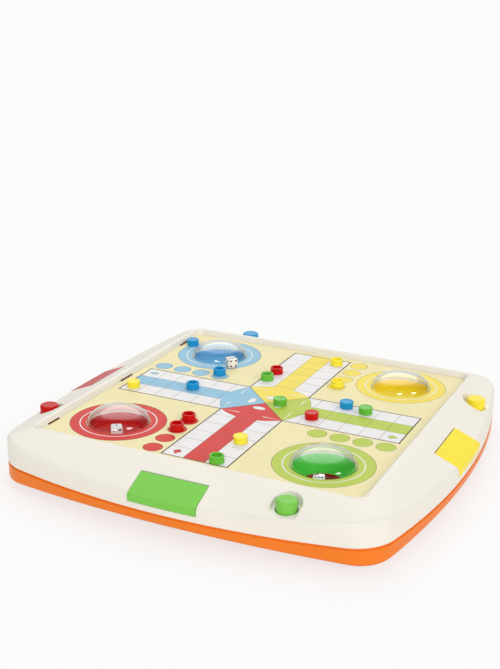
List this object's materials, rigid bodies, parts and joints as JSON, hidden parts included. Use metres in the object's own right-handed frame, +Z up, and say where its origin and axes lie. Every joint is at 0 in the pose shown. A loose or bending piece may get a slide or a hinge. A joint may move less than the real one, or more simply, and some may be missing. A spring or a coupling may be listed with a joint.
{
  "type": "ludo and snakes and ladders board",
  "caption": "Reversible square board game case with ludo and snakes and ladders faces, clear dice domes worked by side buttons, hinged counter stores, loose counters and dice.",
  "frame": {"origin": "on the table, under the middle of the case", "axes": "+Z up through the ludo face, -Y towards the green side, +X towards the yellow side"},
  "size_m": [0.3826, 0.3826, 0.0593],
  "materials": {
    "cream_shell": "smooth satin moulding",
    "orange_shell": "smooth satin moulding",
    "ludo_card": "printed and laminated card",
    "snakes_card": "printed and laminated card",
    "steel": "zinc plated",
    "clear_dome": "polished clear",
    "lever_plastic": "matt moulding",
    "dice_plastic": "polished",
    "green_cup": "smooth moulding",
    "green_button": "smooth moulding",
    "green_lid": "satin moulding",
    "green_counter": "glossy moulding",
    "yellow_cup": "smooth moulding",
    "yellow_button": "smooth moulding",
    "yellow_lid": "satin moulding",
    "yellow_counter": "glossy moulding",
    "blue_cup": "smooth moulding",
    "blue_button": "smooth moulding",
    "blue_lid": "satin moulding",
    "blue_counter": "glossy moulding",
    "red_cup": "smooth moulding",
    "red_button": "smooth moulding",
    "red_lid": "satin moulding",
    "red_counter": "glossy moulding"
  },
  "bodies": {
    "case": {"ludo_frame": "cream_shell", "ludo_deck": "cream_shell", "base_frame": "orange_shell", "ludo_board": "ludo_card", "snakes_board": "snakes_card", "case_screws": "steel", "lever_pins": "steel", "dome_green": "clear_dome", "dome_yellow": "clear_dome", "dome_blue": "clear_dome", "dome_red": "clear_dome", "dice_cup_green": "green_cup", "dice_cup_yellow": "yellow_cup", "dice_cup_blue": "blue_cup", "dice_cup_red": "red_cup", "popper_spring_green": "steel", "popper_spring_yellow": "steel", "popper_spring_blue": "steel", "popper_spring_red": "steel"},
    "button_green": {"popper_button_green": "green_button"},
    "lever_green": {"popper_lever_green": "lever_plastic"},
    "lid_green": {"store_lid_green": "green_lid"},
    "button_yellow": {"popper_button_yellow": "yellow_button"},
    "lever_yellow": {"popper_lever_yellow": "lever_plastic"},
    "lid_yellow": {"store_lid_yellow": "yellow_lid"},
    "button_blue": {"popper_button_blue": "blue_button"},
    "lever_blue": {"popper_lever_blue": "lever_plastic"},
    "lid_blue": {"store_lid_blue": "blue_lid"},
    "button_red": {"popper_button_red": "red_button"},
    "lever_red": {"popper_lever_red": "lever_plastic"},
    "lid_red": {"store_lid_red": "red_lid"},
    "counter_green_1": {"pawn_green_1": "green_counter"},
    "counter_green_2": {"pawn_green_2": "green_counter"},
    "counter_green_3": {"pawn_green_3": "green_counter"},
    "counter_green_4": {"pawn_green_4": "green_counter"},
    "counter_yellow_1": {"pawn_yellow_1": "yellow_counter"},
    "counter_yellow_2": {"pawn_yellow_2": "yellow_counter"},
    "counter_yellow_3": {"pawn_yellow_3": "yellow_counter"},
    "counter_yellow_4": {"pawn_yellow_4": "yellow_counter"},
    "counter_blue_1": {"pawn_blue_1": "blue_counter"},
    "counter_blue_2": {"pawn_blue_2": "blue_counter"},
    "counter_blue_3": {"pawn_blue_3": "blue_counter"},
    "counter_blue_4": {"pawn_blue_4": "blue_counter"},
    "counter_red_1": {"pawn_red_1": "red_counter"},
    "counter_red_2": {"pawn_red_2": "red_counter"},
    "counter_red_3": {"pawn_red_3": "red_counter"},
    "counter_red_4": {"pawn_red_4": "red_counter"},
    "die_green": {"green_cup_die": "dice_plastic"},
    "die_red": {"red_cup_die": "dice_plastic"},
    "die_loose": {"loose_die": "dice_plastic"}
  },
  "joints": [
    {"name": "popper_press_green", "type": "slide", "parent": "case", "child": "button_green", "axis": [0, 0, -1], "range_m": [0, 0.004], "stiffness_N_per_m": 200, "springref_m": -0.003, "deforming": ["popper_spring_green"]},
    {"name": "popper_rock_green", "type": "hinge", "parent": "case", "child": "lever_green", "pos_m": [0.096, -0.132, 0.0268], "axis": [1, 0, 0], "range_deg": [0, 6.3]},
    {"name": "store_hinge_green", "type": "hinge", "parent": "case", "child": "lid_green", "pos_m": [0, -0.16841, 0.04105], "axis": [-1, 0, 0], "range_deg": [0, 105]},
    {"name": "popper_press_yellow", "type": "slide", "parent": "case", "child": "button_yellow", "axis": [0, 0, -1], "range_m": [0, 0.004], "stiffness_N_per_m": 200, "springref_m": -0.003, "deforming": ["popper_spring_yellow"]},
    {"name": "popper_rock_yellow", "type": "hinge", "parent": "case", "child": "lever_yellow", "pos_m": [0.132, 0.096, 0.0268], "axis": [0, 1, 0], "range_deg": [0, 6.3]},
    {"name": "store_hinge_yellow", "type": "hinge", "parent": "case", "child": "lid_yellow", "pos_m": [0.16841, 0, 0.04105], "axis": [0, -1, 0], "range_deg": [0, 105]},
    {"name": "popper_press_blue", "type": "slide", "parent": "case", "child": "button_blue", "axis": [0, 0, -1], "range_m": [0, 0.004], "stiffness_N_per_m": 200, "springref_m": -0.003, "deforming": ["popper_spring_blue"]},
    {"name": "popper_rock_blue", "type": "hinge", "parent": "case", "child": "lever_blue", "pos_m": [-0.096, 0.132, 0.0268], "axis": [-1, 0, 0], "range_deg": [0, 6.3]},
    {"name": "store_hinge_blue", "type": "hinge", "parent": "case", "child": "lid_blue", "pos_m": [0, 0.16841, 0.04105], "axis": [1, 0, 0], "range_deg": [0, 105]},
    {"name": "popper_press_red", "type": "slide", "parent": "case", "child": "button_red", "axis": [0, 0, -1], "range_m": [0, 0.004], "stiffness_N_per_m": 200, "springref_m": -0.003, "deforming": ["popper_spring_red"]},
    {"name": "popper_rock_red", "type": "hinge", "parent": "case", "child": "lever_red", "pos_m": [-0.132, -0.096, 0.0268], "axis": [0, -1, 0], "range_deg": [0, 6.3]},
    {"name": "store_hinge_red", "type": "hinge", "parent": "case", "child": "lid_red", "pos_m": [-0.16841, 0, 0.04105], "axis": [0, 1, 0], "range_deg": [0, 105]},
    {"name": "counter_lift_green_1", "type": "slide", "parent": "case", "child": "counter_green_1", "axis": [0, 0, 1], "range_m": [0, 0.06]},
    {"name": "counter_lift_green_2", "type": "slide", "parent": "case", "child": "counter_green_2", "axis": [0, 0, 1], "range_m": [0, 0.06]},
    {"name": "counter_lift_green_3", "type": "slide", "parent": "case", "child": "counter_green_3", "axis": [0, 0, 1], "range_m": [0, 0.06]},
    {"name": "counter_lift_green_4", "type": "slide", "parent": "case", "child": "counter_green_4", "axis": [0, 0, 1], "range_m": [0, 0.06]},
    {"name": "counter_lift_yellow_1", "type": "slide", "parent": "case", "child": "counter_yellow_1", "axis": [0, 0, 1], "range_m": [0, 0.06]},
    {"name": "counter_lift_yellow_2", "type": "slide", "parent": "case", "child": "counter_yellow_2", "axis": [0, 0, 1], "range_m": [0, 0.06]},
    {"name": "counter_lift_yellow_3", "type": "slide", "parent": "case", "child": "counter_yellow_3", "axis": [0, 0, 1], "range_m": [0, 0.06]},
    {"name": "counter_lift_yellow_4", "type": "slide", "parent": "case", "child": "counter_yellow_4", "axis": [0, 0, 1], "range_m": [0, 0.06]},
    {"name": "counter_lift_blue_1", "type": "slide", "parent": "case", "child": "counter_blue_1", "axis": [0, 0, 1], "range_m": [0, 0.06]},
    {"name": "counter_lift_blue_2", "type": "slide", "parent": "case", "child": "counter_blue_2", "axis": [0, 0, 1], "range_m": [0, 0.06]},
    {"name": "counter_lift_blue_3", "type": "slide", "parent": "case", "child": "counter_blue_3", "axis": [0, 0, 1], "range_m": [0, 0.06]},
    {"name": "counter_lift_blue_4", "type": "slide", "parent": "case", "child": "counter_blue_4", "axis": [0, 0, 1], "range_m": [0, 0.06]},
    {"name": "counter_lift_red_1", "type": "slide", "parent": "case", "child": "counter_red_1", "axis": [0, 0, 1], "range_m": [0, 0.06]},
    {"name": "counter_lift_red_2", "type": "slide", "parent": "case", "child": "counter_red_2", "axis": [0, 0, 1], "range_m": [0, 0.06]},
    {"name": "counter_lift_red_3", "type": "slide", "parent": "case", "child": "counter_red_3", "axis": [0, 0, 1], "range_m": [0, 0.06]},
    {"name": "counter_lift_red_4", "type": "slide", "parent": "case", "child": "counter_red_4", "axis": [0, 0, 1], "range_m": [0, 0.06]},
    {"name": "die_hop_green", "type": "slide", "parent": "lever_green", "child": "die_green", "axis": [0, 0, 1], "range_m": [0, 0.008]},
    {"name": "die_hop_red", "type": "slide", "parent": "case", "child": "die_red", "axis": [0, 0, 1], "range_m": [0, 0.004]},
    {"name": "die_lift_loose", "type": "slide", "parent": "case", "child": "die_loose", "axis": [0, 0, 1], "range_m": [0, 0.06]}
  ],
  "couplings": [
    {"joint": "popper_rock_green", "follows": "popper_press_green", "rad_per_m": 27.452},
    {"joint": "popper_rock_yellow", "follows": "popper_press_yellow", "rad_per_m": 27.452},
    {"joint": "popper_rock_blue", "follows": "popper_press_blue", "rad_per_m": 27.452},
    {"joint": "popper_rock_red", "follows": "popper_press_red", "rad_per_m": 27.452}
  ]
}
